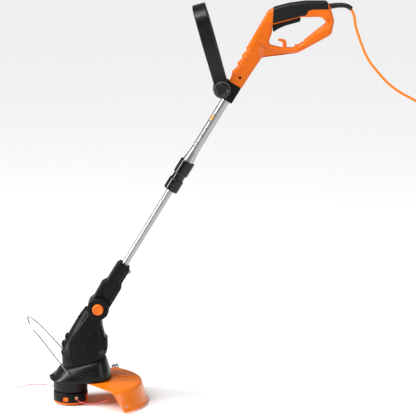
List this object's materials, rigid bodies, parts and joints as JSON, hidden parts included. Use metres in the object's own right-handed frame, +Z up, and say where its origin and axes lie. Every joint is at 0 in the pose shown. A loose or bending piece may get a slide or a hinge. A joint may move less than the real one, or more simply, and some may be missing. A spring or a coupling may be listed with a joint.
{
  "type": "corded string trimmer",
  "caption": "Corded electric string trimmer with a D-handle, adjustable assist handle, telescopic shaft, tilting motor head, line spool, plastic guard and hinged wire guard.",
  "frame": {"origin": "middle of the rear hand grip, where the operator holds the D-handle", "axes": "+Z up, +X back towards the operator, +Y to the right of someone facing the line head; the shaft lies in the XZ plane and leans 31.3 degrees"},
  "size_m": [1.3291, 0.3334, 1.103],
  "materials": {
    "orange_plastic": "satin",
    "orange_guard_plastic": "gloss",
    "black_plastic": "satin",
    "gloss_black_plastic": "gloss",
    "soft_grip_rubber": "matte",
    "aluminium": "satin",
    "steel": "satin",
    "spring_steel": "satin",
    "brass": "satin",
    "copper_and_iron": "satin",
    "white_nylon": "satin",
    "red_line_nylon": "gloss",
    "orange_cord": "satin"
  },
  "bodies": {
    "handle": {"handle_shell_left": "orange_plastic", "handle_shell_right": "orange_plastic", "grip_pad_left": "soft_grip_rubber", "grip_pad_right": "soft_grip_rubber", "handle_screw_1": "steel", "handle_screw_2": "steel", "handle_screw_3": "steel", "neck_screw": "steel", "switch_body": "black_plastic", "trigger_spring": "spring_steel", "strain_relief": "black_plastic", "power_cord": "orange_cord", "cord_coil": "orange_cord", "cord_tie": "black_plastic", "plug_body": "orange_cord", "plug_pin_1": "brass", "plug_pin_2": "brass", "upper_tube": "aluminium", "tube_sleeve": "gloss_black_plastic", "clamp_collet": "white_nylon", "aux_bracket": "black_plastic", "aux_pivot_bolt": "steel"},
    "trigger": {"trigger": "black_plastic"},
    "switch_plunger": {"switch_plunger": "white_nylon"},
    "aux_handle": {"aux_handle": "black_plastic", "aux_button_spring": "spring_steel"},
    "aux_lock_button": {"aux_lock_button": "gloss_black_plastic"},
    "twist_ring": {"twist_ring": "gloss_black_plastic"},
    "shaft_slider": {"guide_bush": "white_nylon"},
    "lower_shaft": {"lower_tube": "aluminium", "neck_shell_left": "black_plastic", "neck_shell_right": "black_plastic", "neck_clamp_screw": "steel"},
    "head": {"motor_housing_left": "black_plastic", "motor_housing_right": "black_plastic", "housing_screw_1": "steel", "housing_screw_2": "steel", "base_shroud": "black_plastic", "motor_stator": "copper_and_iron", "line_guard": "orange_guard_plastic", "guard_screw_1": "steel", "guard_screw_2": "steel", "line_cutter_blade": "steel", "pivot_cap": "black_plastic", "pivot_button_spring": "spring_steel"},
    "pivot_button": {"pivot_button": "orange_plastic"},
    "wire_guard": {"wire_guard": "steel"},
    "line_head": {"spool_gear": "steel", "spool_housing": "black_plastic", "line_eyelet_1": "brass", "line_eyelet_2": "brass", "line_spool": "red_line_nylon", "spool_spring": "spring_steel", "spool_cap": "orange_plastic", "cutting_line_left": "red_line_nylon", "cutting_line_right": "red_line_nylon"},
    "motor_armature": {"armature": "copper_and_iron", "cooling_fan": "white_nylon"},
    "cap_release_tab_1": {"cap_release_tab_1": "orange_plastic"},
    "cap_release_tab_2": {"cap_release_tab_2": "orange_plastic"}
  },
  "joints": [
    {"name": "trigger_press", "type": "hinge", "parent": "handle", "child": "trigger", "pos_m": [-0.012, 0, -0.023], "axis": [0, 1, 0], "range_deg": [0, 7], "stiffness_Nm_per_rad": 2, "springref_deg": -3.44, "deforming": ["trigger_spring"]},
    {"name": "switch_plunger_slide", "type": "slide", "parent": "handle", "child": "switch_plunger", "axis": [0, 0, 1], "range_m": [0, 0.0043]},
    {"name": "aux_handle_swing", "type": "hinge", "parent": "handle", "child": "aux_handle", "pos_m": [-0.215, 0, -0.21], "axis": [0, 1, 0], "range_deg": [-90, 20]},
    {"name": "aux_lock_press", "type": "slide", "parent": "aux_handle", "child": "aux_lock_button", "axis": [0, 1, 0], "range_m": [0, 0.0038], "stiffness_N_per_m": 600, "springref_m": -0.003, "deforming": ["aux_button_spring"]},
    {"name": "twist_ring_turn", "type": "hinge", "parent": "handle", "child": "twist_ring", "pos_m": [-0.551, 0, -0.811], "axis": [0.5195, 0, 0.8545], "range_deg": [0, 90]},
    {"name": "shaft_length", "type": "slide", "parent": "handle", "child": "shaft_slider", "axis": [0.5195, 0, 0.8545], "range_m": [0, 0.16]},
    {"name": "edger_turn", "type": "hinge", "parent": "shaft_slider", "child": "lower_shaft", "pos_m": [-0.551, 0, -0.811], "axis": [0.5195, 0, 0.8545], "range_deg": [0, 180]},
    {"name": "head_tilt", "type": "hinge", "parent": "lower_shaft", "child": "head", "pos_m": [-0.551, 0, -0.811], "axis": [0, 1, 0], "range_deg": [-20, 30]},
    {"name": "pivot_button_press", "type": "slide", "parent": "head", "child": "pivot_button", "axis": [0, 1, 0], "range_m": [0, 0.004], "stiffness_N_per_m": 600, "springref_m": -0.003, "deforming": ["pivot_button_spring"]},
    {"name": "wire_guard_fold", "type": "hinge", "parent": "head", "child": "wire_guard", "pos_m": [-0.629, 0, -0.981], "axis": [0, -1, 0], "range_deg": [0, 55]},
    {"name": "line_head_spin", "type": "hinge", "parent": "head", "child": "line_head", "pos_m": [-0.63, 0, -1], "axis": [0, 0, 1], "continuous": true},
    {"name": "armature_spin", "type": "hinge", "parent": "head", "child": "motor_armature", "pos_m": [-0.592, 0, -0.9], "axis": [0, 0, 1], "continuous": true},
    {"name": "cap_tab_press_1", "type": "slide", "parent": "line_head", "child": "cap_release_tab_1", "axis": [0.2334, 0.9724, 0], "range_m": [0, 0.002], "stiffness_N_per_m": 1500, "springref_m": -0.002},
    {"name": "cap_tab_press_2", "type": "slide", "parent": "line_head", "child": "cap_release_tab_2", "axis": [-0.2334, -0.9724, 0], "range_m": [0, 0.002], "stiffness_N_per_m": 1500, "springref_m": -0.002}
  ],
  "couplings": [
    {"joint": "switch_plunger_slide", "follows": "trigger_press", "m_per_rad": 0.035},
    {"joint": "armature_spin", "follows": "line_head_spin", "ratio": -2.8}
  ]
}
